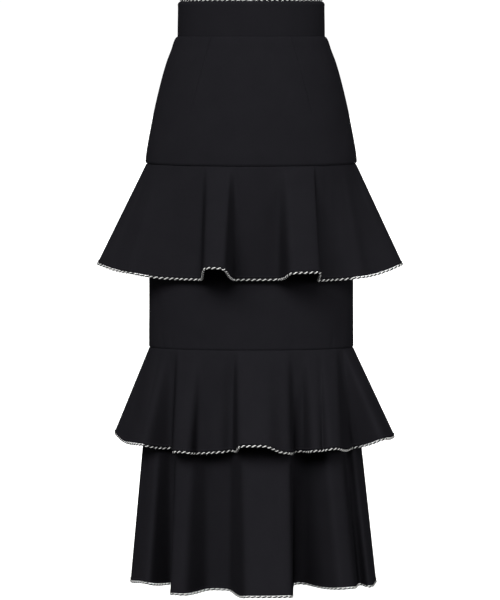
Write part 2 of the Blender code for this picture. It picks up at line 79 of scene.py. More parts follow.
class Wire:
    """A socket in a finish, so that the sums of its pattern are written as plain Python."""

    def __init__(self, tree, socket):
        self.tree = tree
        self.socket = socket

    def add(self, kind, settings, inputs, output=0):
        """Adds any node: its settings are made first, then the values or wires of its sockets."""
        node = self.tree.nodes.new(kind)
        for name, value in settings.items():
            setattr(node, name, value)
        for name, value in inputs.items():
            if isinstance(value, Wire):
                self.tree.links.new(value.socket, node.inputs[name])
            else:
                node.inputs[name].default_value = value
        return Wire(self.tree, node.outputs[output])

    def maths(self, operation, first, second):
        return self.add("ShaderNodeMath", {"operation": operation}, {0: first, 1: second})

    def __add__(self, other):
        return self.maths("ADD", self, other)

    __radd__ = __add__

    def __sub__(self, other):
        return self.maths("SUBTRACT", self, other)

    def __mul__(self, other):
        return self.maths("MULTIPLY", self, other)

    __rmul__ = __mul__

    def between(self, dark, light):
        """A colour from dark to light as this wire goes from 0 to 1."""
        return self.add(
            "ShaderNodeMix", {"data_type": "RGBA", "clamp_factor": True},
            {0: self, 6: (*dark, 1.0), 7: (*light, 1.0)}, output=2,
        )

    def noise(self, place, scale, detail=2.0, roughness=0.5):
        return self.add(
            "ShaderNodeTexNoise", {},
            {"Vector": place, "Scale": scale, "Detail": detail, "Roughness": roughness},
        )


def finish(name, steady):
    """A material with its steady values set. Returns it, its shader and a first wire."""
    made = bpy.data.materials.new(name)
    made.use_nodes = True
    tree = made.node_tree
    shader = tree.nodes["Principled BSDF"]
    for socket, value in steady.items():
        shader.inputs[socket].default_value = value
    place = tree.nodes.new("ShaderNodeTexCoord")
    return made, shader, Wire(tree, place.outputs["Object"])


def black_crepe():
    """Twisted-yarn crepe: a fine pebbled grain over faint cloudy patches, with no shine."""
    made, shader, place = finish("black_crepe", {
        "Specular IOR Level": 0.0, "Sheen Weight": 0.0,
    })
    pebble = place.add(
        "ShaderNodeTexVoronoi", {"feature": "SMOOTH_F1"},
        {"Vector": place, "Scale": 1150.0, "Smoothness": 0.6, "Randomness": 1.0},
    )
    yarn = place.noise(place, 2300.0, 2.0)
    fleck = place.noise(place, 620.0, 3.0, 0.65)
    cloud = place.noise(place, 26.0, 2.0)
    grain = 0.55 * pebble + 0.45 * yarn
    shade = 0.45 * fleck + 0.25 * cloud + 0.40 * grain - 0.10
    base = shade.between(CREPE_BLACK, CREPE_WORN)
    rough = 0.78 + 0.16 * fleck
    tree = made.node_tree
    tree.links.new(base.socket, shader.inputs["Base Color"])
    tree.links.new(rough.socket, shader.inputs["Roughness"])
    relief = place.add(
        "ShaderNodeBump", {}, {"Strength": 0.55, "Distance": 0.00025, "Height": grain + 0.5 * fleck}
    )
    tree.links.new(relief.socket, shader.inputs["Normal"])
    return made


crepe = black_crepe()


def ease(share):
    """A smooth step from 0 to 1."""
    share = min(max(share, 0.0), 1.0)
    return share * share * (3 - 2 * share)


def ring_point(section, angle, inset=0.0):
    """A point on a section's outline, moved in by the inset, at the section's height."""
    turn = math.radians(angle)
    across, along = math.sin(turn), -math.cos(turn)
    depth = section.front_depth if along < 0 else section.back_depth
    point = Vector((section.half_width * across, depth * along, section.height))
    out = Vector((across / section.half_width, along / depth, 0)).normalized()
    return point - out * inset


def edge_angle(section):
    """The turn that keeps a piece's upright edge just off the piece sewn to it."""
    return math.degrees(SEWN_GAP / 2 / min(section.front_depth, section.half_width))


def thin_shell(piece, thickness, rounding):
    """Gives an open sheet its cloth thickness, inwards, and softens its cut edges."""
    wall = piece.modifiers.new("cloth", "SOLIDIFY")
    wall.thickness = thickness
    wall.offset = -1.0
    wall.use_even_offset = True
    edge = piece.modifiers.new("edge", "BEVEL")
    edge.width = rounding
    edge.segments = 2
    edge.limit_method = "ANGLE"
    edge.angle_limit = math.radians(EDGE_CORNER)


def settle(piece, material, body, slot, *nodes):
    """Gives a finished piece its material and its body, and hides the nodes that it stands for."""
    piece.data.materials.append(material)
    piece.data.shade_smooth()
    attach(piece, body)
    if nodes:
        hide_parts(*nodes)


def laid_cloth(name, place, columns, rows):
    """A grid of cloth on a surface. place(across, down) gives a point for shares 0 to 1."""
    mesh = bmesh.new()
    mesh.loops.layers.uv.new("cut")
    bmesh.ops.create_grid(mesh, x_segments=columns, y_segments=rows, size=0.5, calc_uvs=True)
    for vertex in mesh.verts:
        vertex.co = place(vertex.co.x + 0.5, 0.5 - vertex.co.y)
    bmesh.ops.recalc_face_normals(mesh, faces=mesh.faces)
    data = bpy.data.meshes.new(name)
    mesh.to_mesh(data)
    mesh.free()
    made = bpy.data.objects.new(name, data)
    bpy.context.scene.collection.objects.link(made)
    return made


def declare_cut(place):
    """Measures the size a sheet was cut to, along its own surface; the sizes are not declared or
    used.
    """
    steps = [i / CUT_STEPS for i in range(CUT_STEPS + 1)]
    rows = [[place(across, down) for across in steps] for down in steps]
    widths = [sum((b - a).length for a, b in zip(row, row[1:])) for row in rows]
    falls = [sum((b - a).length for a, b in zip(line, line[1:])) for line in zip(*rows)]


def band_place(start, end):
    """A waistband piece: straight up from the waist seam, then rolled in at the top."""
    trim = edge_angle(BAND)

    def place(across, down):
        angle = start + trim + (end - start - 2 * trim) * across
        if down < BAND_ROLL_SHARE:
            turn = math.pi / 2 * (1 - down / BAND_ROLL_SHARE)
            inset = BAND_ROLL * (1 - math.cos(turn))
            height = BAND_TOP - BAND_ROLL_DROP * (1 - math.sin(turn))
        else:
            fall = (down - BAND_ROLL_SHARE) / (1 - BAND_ROLL_SHARE)
            foot, head = WAIST_SEAM + SEAM_GAP, BAND_TOP - BAND_ROLL_DROP
            height = head + (foot - head) * fall
            inset = BAND_BOW * math.cos(math.pi * fall)
        return ring_point(BAND._replace(height=height), angle, inset)

    return place


for node in ("waistband_front", "waistband_back_left", "waistband_back_right"):
    start, end = PIECES[node]
    place = band_place(start, end)
    columns = BAND_COLUMNS * (end - start) // 90
    piece = laid_cloth(f"cloth_{node}", place, columns, BAND_ROWS)
    thin_shell(piece, BAND_CLOTH, BAND_EDGE)
    settle(piece, crepe, "garment", "crepe", node)
    declare_cut(place)


# The hip panel: a front and two back pieces of crepe, shaped to the hip by two long darts in
# front and two shorter ones behind. Each dart is folded and sewn inside, so that it shows as
# a fine sunken line which fades at its tip.
Dart = namedtuple("Dart", "top_angle tip_angle length")
Crease = namedtuple("Crease", "angle height lean length width depth")

HIP_HEIGHT = 0.1976
MIDDLE_HEIGHT = 0.2917
UPPER_SEAM = WAIST_SEAM - HIP_HEIGHT
LOWER_SEAM = UPPER_SEAM - MIDDLE_HEIGHT
UPPER_SEAM_DIP = 0.0018
LOWER_SEAM_DIP = -0.0035
CLOTH = 0.0014
PANEL_EDGE = 0.0005
HIP_COLUMNS = 220
HIP_ROWS = 66
HIP_TUCK = 0.0036
HIP_TURN_UP = 0.0039
HIP_TUCK_START = 0.0016
TUCK_SHARE = 6 / HIP_ROWS
ZIP_CLEAR_ANGLE = 10
SEAM_ROLL = 0.0010
SEAM_ROLL_HEIGHT = 0.0028
ROW_CLUSTER = 0.85
DART_HALF_WIDTH = 0.0011
DART_DEPTH = 0.0012
DART_FADE = 0.005
DART_CLOSENESS = 0.80
DART_REACH = 4.5
DART_SWELL_WIDTH = 0.008
DART_SWELL_SHARE = 0.2
HIP_ROUNDNESS = 0.85
BODY = (
    Section(WAIST_SEAM, 0.1162, 0.0890, 0.0900),
    Section(WAIST_SEAM - 0.004, 0.1190, 0.0908, 0.0922),
    Section(WAIST_SEAM - 0.020, 0.1247, 0.0940, 0.0962),
    Section(WAIST_SEAM - 0.040, 0.1323, 0.0985, 0.1015),
    Section(WAIST_SEAM - 0.090, 0.1460, 0.1075, 0.1130),
    Section(WAIST_SEAM - 0.140, 0.1567, 0.1130, 0.1195),
    Section(UPPER_SEAM, 0.1658, 0.1160, 0.1220),
    Section(UPPER_SEAM - 0.090, 0.1616, 0.1140, 0.1185),
    Section(UPPER_SEAM - 0.200, 0.1602, 0.1130, 0.1160),
    Section(LOWER_SEAM, 0.1607, 0.1132, 0.1160),
)
DARTS = {
    "hip_front": (Dart(-31.5, -38.0, 0.114), Dart(31.5, 38.0, 0.114)),
    "hip_back_left": (Dart(149.0, 145.0, 0.096),),
    "hip_back_right": (Dart(211.0, 215.0, 0.096),),
}
# Slack in the hip panel: angle, height and lean of each trough, its length, width and depth
HIP_CREASES = (
    Crease(-62, -0.185, 24, 0.070, 0.012, 0.0007),
    Crease(-12, -0.120, -8, 0.100, 0.022, 0.0005),
    Crease(18, -0.195, 12, 0.060, 0.014, 0.0005),
    Crease(66, -0.170, -28, 0.080, 0.013, 0.0007),
    Crease(112, -0.190, 26, 0.065, 0.012, 0.0008),
    Crease(166, -0.150, -10, 0.090, 0.016, 0.0007),
    Crease(199, -0.180, 14, 0.070, 0.014, 0.0007),
    Crease(247, -0.175, -24, 0.075, 0.012, 0.0008),
)


@lru_cache(maxsize=None)
def body_section(height):
    """The body's section at a height, on a smooth curve through the rows of BODY."""
    height = min(max(height, BODY[-1].height), BODY[0].height)
    below = next(i for i in range(1, len(BODY)) if BODY[i].height <= height)
    rows = [BODY[min(max(i, 0), len(BODY) - 1)] for i in range(below - 2, below + 2)]
    share = (rows[1].height - height) / (rows[1].height - rows[2].height)
    sizes = []
    for column in range(1, len(Section._fields)):
        before, start, end, after = (row[column] for row in rows)
        spans = [(rows[i].height - rows[i + 1].height) or 1.0 for i in range(3)]
        slope = (end - start) / spans[1]
        start_slope = (slope + (start - before) / spans[0]) / 2 if before != start else slope
        end_slope = (slope + (after - end) / spans[2]) / 2 if after != end else slope
        t = share
        sizes.append(
            (2 * t**3 - 3 * t**2 + 1) * start
            + (t**3 - 2 * t**2 + t) * spans[1] * start_slope
            + (3 * t**2 - 2 * t**3) * end
            + (t**3 - t**2) * spans[1] * end_slope
        )
    return Section(height, *sizes)


def seam_sag(angle, height):
    """How far the cloth hangs below a level ring, which grows from one seam to the next."""
    front = max(math.cos(math.radians(angle)), 0.0)
    if height > UPPER_SEAM:
        return UPPER_SEAM_DIP * front * (WAIST_SEAM - height) / HIP_HEIGHT
    share = (UPPER_SEAM - height) / MIDDLE_HEIGHT
    return front * (UPPER_SEAM_DIP * (1 - share) + LOWER_SEAM_DIP * share)


def body_point(angle, height, inset=0.0):
    point = ring_point(body_section(height), angle, inset)
    point.z -= seam_sag(angle, height)
    return point


def crease_depth(creases, angle, height, radius):
    """How deep the cloth lies in its soft troughs at a place on the body."""
    depth = 0.0
    for crease in creases:
        across = math.radians((angle - crease.angle + 180) % 360 - 180) * radius
        down = crease.height - height
        lean = math.radians(crease.lean)
        along = down * math.cos(lean) + across * math.sin(lean)
        aside = across * math.cos(lean) - down * math.sin(lean)
        if abs(along) < crease.length and abs(aside) < 3 * crease.width:
            fade = math.cos(math.pi / 2 * along / crease.length) ** 2
            depth += crease.depth * fade * math.exp(-((aside / crease.width) ** 2))
    return depth


def dart_angle(dart, height):
    """The angle of a dart's line at a height, which stays at its tip's below the tip."""
    share = min((WAIST_SEAM - height) / dart.length, 1.0)
    return dart.top_angle + (dart.tip_angle - dart.top_angle) * share


def dart_depth(darts, angle, height, radius):
    """The sunken line of a dart: a fine valley with a soft swelling on each side of it."""
    depth = 0.0
    for dart in darts:
        aside = abs(math.radians(angle - dart_angle(dart, height))) * radius
        fade = ease((dart.length + DART_FADE - WAIST_SEAM + height) / (3 * DART_FADE))
        valley = max(0.0, 1 - aside / DART_HALF_WIDTH)
        swell = math.exp(-((aside / DART_SWELL_WIDTH) ** 2))
        depth += fade * (DART_DEPTH * valley - DART_SWELL_SHARE * DART_DEPTH * swell)
    return depth


def gathered_rows(down):
    """The share of the way down for a row of the grid, with close rows at both seams."""
    return down - ROW_CLUSTER * math.sin(2 * math.pi * down) / (2 * math.pi)


def seam_roll(distance):
    """How far an edge rolls in where it is turned and sewn, by the distance to its seam."""
    return SEAM_ROLL * (1 - ease(distance / SEAM_ROLL_HEIGHT))


def hip_place(start, end, darts):
    """A hip piece, whose top is turned up inside the waistband, with close columns at darts."""
    trim = edge_angle(BODY[0])

    def place(across, down):
        fall = gathered_rows(max(0.0, (down - TUCK_SHARE) / (1 - TUCK_SHARE)))
        tuck = max(0.0, 1 - down / TUCK_SHARE)
        height = WAIST_SEAM - HIP_TUCK_START - (HIP_HEIGHT - HIP_TUCK_START) * fall
        angle = start + trim + (end - start - 2 * trim) * across
        for dart in darts:
            aside = angle - dart_angle(dart, height)
            angle -= DART_CLOSENESS * aside * math.exp(-((aside / DART_REACH) ** 2))
        radius = body_section(height).half_width * HIP_ROUNDNESS
        depth = dart_depth(darts, angle, height, radius)
        depth += crease_depth(HIP_CREASES, angle, height, radius)
        turned = ease(abs(angle - 180) / ZIP_CLEAR_ANGLE - 1)
        depth += seam_roll(height - UPPER_SEAM) + HIP_TUCK * turned * ease(2.5 * tuck)
        point = body_point(angle, height, depth)
        point.z += (HIP_TUCK_START + HIP_TURN_UP * turned) * tuck
        return point

    return place


for node, darts in DARTS.items():
    start, end = PIECES[node]
    place = hip_place(start, end, darts)
    columns = HIP_COLUMNS * (end - start) // 180
    piece = laid_cloth(f"cloth_{node}", place, columns, HIP_ROWS)
    thin_shell(piece, CLOTH, PANEL_EDGE)
    settle(piece, crepe, "garment", "crepe", node)
    declare_cut(place)


# The middle panel: a plain tube of crepe, front and back, sewn in with the upper flounce and
# hidden by it at the top. It puckers a little where the lower seam gathers it in.
MIDDLE_COLUMNS = 180
MIDDLE_ROWS = 60
MIDDLE_RADIUS = 0.135
SEAM_STEP = 0.0010
MIDDLE_TUCK = SEAM_STEP + CLOTH + 0.0005
MIDDLE_CREASES = (
    Crease(-59, -0.508, 14, 0.022, 0.0035, 0.0009),
    Crease(-50, -0.510, 6, 0.020, 0.0030, 0.0008),
    Crease(-30, -0.506, -6, 0.016, 0.0035, 0.0005),
    Crease(-6, -0.509, 4, 0.014, 0.0040, 0.0004),
    Crease(24, -0.508, -8, 0.016, 0.0035, 0.0005),
    Crease(52, -0.507, -12, 0.020, 0.0030, 0.0007),
    Crease(63, -0.470, -20, 0.060, 0.0120, 0.0006),
    Crease(-66, -0.450, 18, 0.070, 0.0120, 0.0006),
    Crease(6, -0.430, 3, 0.080, 0.0200, 0.0004),
    Crease(118, -0.508, 12, 0.022, 0.0035, 0.0009),
    Crease(140, -0.480, -8, 0.050, 0.0100, 0.0007),
    Crease(171, -0.508, -5, 0.018, 0.0035, 0.0007),
    Crease(205, -0.505, 8, 0.022, 0.0035, 0.0008),
    Crease(232, -0.470, 14, 0.060, 0.0110, 0.0007),
)


def middle_place(start, end):
    trim = edge_angle(BODY[-1])

    def place(across, down):
        angle = start + trim + (end - start - 2 * trim) * across
        height = UPPER_SEAM - SEAM_GAP - (MIDDLE_HEIGHT - SEAM_GAP) * gathered_rows(down)
        tuck = 1 - ease(3 * (UPPER_SEAM - height) / MIDDLE_HEIGHT)
        inset = (MIDDLE_TUCK + SEAM_ROLL) * tuck + seam_roll(height - LOWER_SEAM)
        inset += crease_depth(MIDDLE_CREASES, angle, height, MIDDLE_RADIUS)
        return body_point(angle, height, inset)

    return place


for node in ("middle_front", "middle_back"):
    start, end = PIECES[node]
    place = middle_place(start, end)
    piece = laid_cloth(f"cloth_{node}", place, MIDDLE_COLUMNS, MIDDLE_ROWS)
    thin_shell(piece, CLOTH, PANEL_EDGE)
    settle(piece, crepe, "garment", "crepe", node)
    declare_cut(place)


# The three flounces: flared pieces of crepe, front and back, whose upper edge is sewn into a
# seam and whose longer hem falls into round folds. The stretches say how the hem hangs, and
# the fold line above each hem is where the cord's seam allowance is pressed up inside.
Stretch = namedtuple("Stretch", "start end reach swing lift")
Pleat = namedtuple("Pleat", "angle width top foot depth")
Flounce = namedtuple("Flounce", "seam length inset stretches")

FLOUNCE_COLUMNS = 300
PLAIN_ROWS = 30
ROW_CROWDING = 1.5
HEM_ROWS = 12
HEM_ZONE = 0.0060
HEM_STEPS = 1440
FOLD_ROUNDING = 0.0060
ALLOWANCE_HEIGHT = 0.0023
ALLOWANCE_RIDGE = 0.0009
ALLOWANCE_WIDTH = 0.0009
STITCH_ABOVE = 0.0005
FLOUNCE_EDGE = 0.0004
PLEAT_RADIUS = 0.14
UPPER_FLOUNCE = Flounce(UPPER_SEAM, 0.1755, SEAM_STEP, (
    Stretch(-100, -80, 0.078, -90, 0.000),
    Stretch(-64, -60, 0.056, -68, 0.000),
    Stretch(-43, -27.5, 0.015, -12, 0.000),
    Stretch(-23.5, -12.5, 0.088, -4, 0.000),
    Stretch(-8, 14, 0.012, 0, 0.001),
    Stretch(20, 26, 0.071, 4, 0.000),
    Stretch(30, 35.5, 0.072, 9, 0.000),
    Stretch(37.5, 50, 0.014, 14, -0.002),
    Stretch(62, 66, 0.036, 60, -0.002),
    Stretch(80, 100, 0.0743, 90, 0.001),
    Stretch(110, 117, 0.018, 112, 0.000),
    Stretch(125, 138, 0.075, 140, 0.002),
    Stretch(146, 155, 0.012, 150, 0.000),
    Stretch(162, 176, 0.080, 170, 0.000),
    Stretch(183, 190, 0.012, 186, 0.000),
    Stretch(197, 209, 0.068, 201, 0.000),
    Stretch(216, 226, 0.013, 222, 0.000),
    Stretch(233, 244, 0.073, 229, 0.002),
    Stretch(250, 254, 0.022, 250, 0.000),
))
MIDDLE_FLOUNCE = Flounce(LOWER_SEAM, 0.1620, SEAM_STEP, (
    Stretch(-98, -84, 0.0702, -125, 0.006),
    Stretch(-73, -57, 0.042, -52, 0.009),
    Stretch(-49.5, -48, 0.015, 196, 0.006),
    Stretch(-44, -34, 0.052, -10, 0.000),
    Stretch(-27.5, -24.5, 0.020, -24, 0.003),
    Stretch(-18, -16, 0.024, -8, 0.005),
    Stretch(-11.5, -10, 0.012, -3, 0.008),
    Stretch(-6.5, 8, 0.084, 0, 0.000),
    Stretch(16, 18.5, 0.064, 6, -0.003),
    Stretch(24.5, 28.5, 0.012, 10, 0.006),
    Stretch(35, 38.5, 0.054, 6, 0.002),
    Stretch(41.5, 42.5, 0.046, 4, 0.003),
    Stretch(45, 55, 0.066, 5, 0.000),
    Stretch(59, 61, 0.022, 98, 0.006),
    Stretch(66, 71, 0.070, 57, 0.008),
    Stretch(84, 98, 0.0665, 90, 0.007),
    Stretch(109, 114, 0.044, 108, 0.004),
    Stretch(122, 132, 0.078, 138, 0.000),
    Stretch(139, 144, 0.044, 142, 0.002),
    Stretch(152, 164, 0.082, 160, 0.000),
    Stretch(171, 176, 0.046, 174, 0.000),
    Stretch(184, 190, 0.070, 186, 0.000),
    Stretch(197, 201, 0.042, 198, 0.002),
    Stretch(208, 219, 0.080, 206, 0.000),
    Stretch(226, 231, 0.044, 227, 0.003),
    Stretch(239, 247, 0.074, 226, 0.004),
    Stretch(253, 256, 0.050, 240, 0.006),
))
BOTTOM_FLOUNCE = Flounce(LOWER_SEAM, 0.3815, MIDDLE_TUCK, (
    Stretch(-100, -80, 0.036, -105, 0.007),
    Stretch(-73, -61, 0.028, -62, 0.012),
    Stretch(-50, -48.5, 0.058, 184, 0.000),
    Stretch(-43.5, -34, 0.038, -27, 0.001),
    Stretch(-24, -13, 0.020, 180, 0.004),
    Stretch(-5, 20, 0.084, 5, 0.000),
    Stretch(26, 31, 0.048, 182, 0.006),
    Stretch(41, 52, 0.048, 48, 0.008),
    Stretch(56.5, 57.5, 0.052, 132, 0.002),
    Stretch(66, 72, 0.042, 85, 0.003),
    Stretch(80, 97, 0.047, 116, 0.003),
    Stretch(110, 116, 0.024, -60, 0.004),
    Stretch(125, 137, 0.060, 140, 0.000),
    Stretch(146, 152, 0.036, -25, 0.004),
    Stretch(161, 177, 0.074, 168, 0.000),
    Stretch(186, 192, 0.038, 10, 0.005),
    Stretch(201, 213, 0.064, 202, 0.000),
    Stretch(223, 229, 0.036, 30, 0.005),
    Stretch(239, 249, 0.050, 230, 0.003),
))


# Soft pleats by seam angle: width, then the shares of the way down where each starts and ends
UPPER_PLEATS = (
    Pleat(-72, 0.0060, -0.10, 0.90, 0.0012), Pleat(-57, 0.0050, 0.00, 0.96, 0.0010),
    Pleat(-36, 0.0090, -0.10, 0.60, 0.0008), Pleat(3, 0.0110, 0.10, 0.85, 0.0008),
    Pleat(45, 0.0070, -0.10, 0.70, 0.0010), Pleat(58, 0.0050, 0.05, 0.95, 0.0010),
    Pleat(74, 0.0065, -0.05, 0.80, 0.0009), Pleat(104, 0.0060, 0.00, 0.90, 0.0011),
    Pleat(143, 0.0070, -0.10, 0.75, 0.0010), Pleat(158, 0.0050, 0.10, 0.96, 0.0009),
    Pleat(192, 0.0080, -0.05, 0.65, 0.0010), Pleat(213, 0.0055, 0.05, 0.90, 0.0011),
    Pleat(257, 0.0060, -0.05, 0.85, 0.0010),
)
MIDDLE_PLEATS = (
    Pleat(-79, 0.0055, -0.05, 0.85, 0.0010), Pleat(-62, 0.0045, 0.00, 0.70, 0.0010),
    Pleat(-42, 0.0060, -0.05, 0.60, 0.0008), Pleat(2, 0.0090, 0.15, 0.96, 0.0006),
    Pleat(29.5, 0.0026, 0.10, 0.97, 0.0010), Pleat(36, 0.0050, 0.00, 0.60, 0.0006),
    Pleat(63, 0.0045, -0.05, 0.80, 0.0010), Pleat(104, 0.0050, 0.00, 0.90, 0.0010),
    Pleat(135, 0.0045, -0.05, 0.85, 0.0010), Pleat(148, 0.0060, 0.05, 0.70, 0.0008),
    Pleat(180, 0.0050, 0.00, 0.90, 0.0009), Pleat(205, 0.0040, -0.05, 0.80, 0.0010),
    Pleat(236, 0.0055, 0.05, 0.95, 0.0010),
)
BOTTOM_PLEATS = (
    Pleat(-76, 0.0070, 0.00, 0.80, 0.0011), Pleat(-47, 0.0045, 0.20, 0.97, 0.0009),
    Pleat(-31, 0.0080, 0.10, 0.97, 0.0010), Pleat(4, 0.0120, 0.20, 0.90, 0.0009),
    Pleat(13, 0.0050, 0.30, 0.98, 0.0007), Pleat(37, 0.0055, 0.00, 0.90, 0.0011),
    Pleat(57, 0.0050, 0.10, 0.80, 0.0010), Pleat(72, 0.0060, 0.00, 0.95, 0.0010),
    Pleat(104, 0.0060, 0.05, 0.85, 0.0011), Pleat(142, 0.0065, 0.00, 0.90, 0.0010),
    Pleat(168, 0.0100, 0.20, 0.95, 0.0009), Pleat(181, 0.0050, 0.00, 0.70, 0.0010),
    Pleat(218, 0.0060, 0.10, 0.95, 0.0011), Pleat(256, 0.0055, 0.00, 0.80, 0.0010),
)


def hem_offset(stretches, angle):
    """The hem's plan offset from its seam, with its lift as the height, at a seam angle."""
    def held(stretch):
        swing = math.radians(stretch.swing)
        across, along = math.sin(swing) * stretch.reach, -math.cos(swing) * stretch.reach
        return Vector((across, along, stretch.lift))

    first = stretches[0].start
    angle = (angle - first) % 360 + first
    for stretch, following in zip(stretches, stretches[1:] + stretches[:1]):
        turn = 360 if following.start < stretch.start else 0
        if angle <= stretch.end:
            return held(stretch)
        if angle < following.start + turn:
            share = (angle - stretch.end) / (following.start + turn - stretch.end)
            return held(stretch).lerp(held(following), ease(share))
    return held(stretches[0])


def hem_line(flounce):
    """The hem as even steps round the skirt: seam angle, plan offset and drop from the seam.

    The stretches give a line with sharp turns, so it is walked in even steps and each step
    is averaged with its neighbours, because cloth turns in round folds.
    """
    count = HEM_STEPS
    angles = [-180 + 360 * i / count for i in range(count + 1)]
    line = []
    for angle in angles:
        offset = hem_offset(flounce.stretches, angle)
        seam = body_point(angle, flounce.seam, flounce.inset)
        line.append((seam.x + offset.x, seam.y + offset.y, offset.z, angle))
    run = [0.0]
    for here, there in zip(line, line[1:]):
        run.append(run[-1] + math.hypot(there[0] - here[0], there[1] - here[1]))
    steps, at = [], 0
    for i in range(count):
        wanted = run[-1] * i / count
        while run[at + 1] < wanted:
            at += 1
        share = (wanted - run[at]) / (run[at + 1] - run[at])
        x, y, lift, angle = (a + (b - a) * share for a, b in zip(line[at], line[at + 1]))
        steps.append((x, y, lift, angle - 360 * i / count))
    for _ in range(round(2 * (FOLD_ROUNDING * count / run[-1]) ** 2)):
        beside = [(steps[i - 1], steps[i], steps[i + 1 - count]) for i in range(count)]
        steps = [tuple((a + 2 * b + c) / 4 for a, b, c in zip(*three)) for three in beside]
    hem = []
    for i, (x, y, lift, lag) in enumerate(steps):
        angle = lag + 360 * i / count
        seam = body_point(angle, flounce.seam, flounce.inset)
        x, y = x - seam.x, y - seam.y
        hem.append((angle, x, y, math.sqrt(flounce.length**2 - x**2 - y**2) - lift))
    return hem


def flounce_surface(flounce, hem):
    """The flounce's outer face as a function of the hem step and the share of the way down."""
    def surface(step, share):
        low = math.floor(step)
        here, there = hem[low % HEM_STEPS], hem[(low + 1) % HEM_STEPS]
        turn = 360 if low % HEM_STEPS == HEM_STEPS - 1 else 0
        part = step - low
        angle = here[0] + (there[0] + turn - here[0]) * part
        x, y, drop = (a + (b - a) * part for a, b in zip(here[1:], there[1:]))
        top = body_point(angle, flounce.seam, flounce.inset)
        return Vector((top.x + x * share, top.y + y * share, top.z - SEAM_GAP - drop * share))

    return surface


def facing(surface, step, share):
    """The outward direction of a surface, from two short moves along it."""
    across = surface(step + 0.5, share) - surface(step - 0.5, share)
    down = surface(step, share + 0.002) - surface(step, share - 0.002)
    return down.cross(across).normalized()


def step_at(hem, angle):
    """The hem step at a seam angle."""
    count = len(hem)
    turns = [hem[i % count][0] + 360 * (i // count) for i in range(2 * count)]
    low = next(i for i in range(2 * count) if turns[i + 1] > angle)
    return low + (angle - turns[low]) / (turns[low + 1] - turns[low])


def pleat_depth(pleats, angle, share):
    """How deep the cloth lies in its soft pleats, which fade out above and below."""
    depth = 0.0
    for pleat in pleats:
        aside = math.radians((angle - pleat.angle + 180) % 360 - 180)
        aside = aside * PLEAT_RADIUS / pleat.width
        along = (share - pleat.top) / (pleat.foot - pleat.top)
        if abs(aside) < 3 and 0 < along < 1:
            depth += pleat.depth * math.sin(math.pi * along) ** 0.8 * math.exp(-(aside**2))
    return depth


def hem_relief(above):
    """The low round ridge above a hem, where the cloth rolls over the cord's allowance."""
    return ALLOWANCE_RIDGE * math.exp(-(((above - ALLOWANCE_HEIGHT) / ALLOWANCE_WIDTH) ** 2))


def flounce_place(surface, hem, pleats, first, last, length):
    """A flounce piece, with its pleats and with close rows for the relief above its hem."""
    zone = HEM_ROWS / (PLAIN_ROWS + HEM_ROWS)

    def place(across, down):
        step = first + (last - first) * across
        if down > 1 - zone:
            above = HEM_ZONE * (1 - down) / zone
        else:
            above = HEM_ZONE + (length - HEM_ZONE) * (1 - (down / (1 - zone)) ** ROW_CROWDING)
        share = 1 - above / length
        angle = hem[round(step) % HEM_STEPS][0]
        relief = hem_relief(above) - pleat_depth(pleats, angle, share)
        relief -= seam_roll(length * share)
        point = surface(step, share)
        if abs(relief) > 1e-6:
            point += facing(surface, step, share) * relief
        return point

    return place


flounces = {}
for name, flounce, pleats in (
    ("upper", UPPER_FLOUNCE, UPPER_PLEATS), ("middle", MIDDLE_FLOUNCE, MIDDLE_PLEATS),
    ("bottom", BOTTOM_FLOUNCE, BOTTOM_PLEATS),
):
    hem = hem_line(flounce)
    surface = flounce_surface(flounce, hem)
    flounces[name] = (flounce, surface)
    trim = edge_angle(body_section(flounce.seam))
    for side, start, end in (("front", -90, 90), ("back", 90, 270)):
        first, last = step_at(hem, start + trim), step_at(hem, end - trim)
        place = flounce_place(surface, hem, pleats, first, last, flounce.length)
        rows = PLAIN_ROWS + HEM_ROWS
        piece = laid_cloth(f"cloth_flounce_{name}_{side}", place, FLOUNCE_COLUMNS, rows)
        thin_shell(piece, CLOTH, FLOUNCE_EDGE)
        settle(piece, crepe, "garment", "crepe", f"flounce_{name}_{side}")
        carrier = "hip_front" if name == "upper" else "middle_front"
        declare_cut(place)


# The cord trim: one white and one black ply of soft cotton twisted together, about 4 mm
# thick, and whipped on by hand along each hem and the top of the waistband.
CORD_RADIUS = 0.0019
CORD_PITCH = 0.0084
PLY_SIDES = 8
STEPS_A_PITCH = 9
CORD_HEIGHT = BAND_TOP + CORD_RADIUS + SEAM_GAP
CORD_INSET = BAND_ROLL + BAND_CLOTH / 4
CORD_END = 178.4
WHITE_PLY = 0.00084
BLACK_PLY = 0.00106
CORD_STEP = 0.0015
CORD_WHITE = ((0.60, 0.60, 0.58), (0.90, 0.90, 0.88))
CORD_BLACK = ((0.004, 0.004, 0.005), (0.010, 0.010, 0.012))


def cord_yarn(name, colours):
    """Soft cotton ply: fine fibres along the twist, with a painted highlight: the colour is made
    lighter where the strands stand proud.
    """
    made, shader, place = finish(name, {
        "Specular IOR Level": 0.2, "Sheen Weight": 0.1, "Sheen Roughness": 0.5,
    })
    along = place.add("ShaderNodeUVMap", {"uv_map": "ply"}, {})
    strands = place.add(
        "ShaderNodeTexWave", {"wave_type": "BANDS", "bands_direction": "DIAGONAL"},
        {"Vector": along, "Scale": 1.6, "Distortion": 1.2, "Detail": 2.0},
        output=1,
    )
    fuzz = place.noise(place, 3200.0, 3.0, 0.7)
    # painted highlight: the same pattern that raises the bump lightens the colour, with random
    # fibre tone from the fuzz
    shade = 0.6 * strands + 0.5 * fuzz
    tree = made.node_tree
    tree.links.new(shade.between(*colours).socket, shader.inputs["Base Color"])
    tree.links.new((0.75 + 0.2 * fuzz).socket, shader.inputs["Roughness"])
    relief = place.add(
        "ShaderNodeBump", {}, {"Strength": 0.6, "Distance": 0.0002, "Height": shade}
    )
    tree.links.new(relief.socket, shader.inputs["Normal"])
    return made


cord_white = cord_yarn("cord_white_ply", CORD_WHITE)
cord_black = cord_yarn("cord_black_ply", CORD_BLACK)


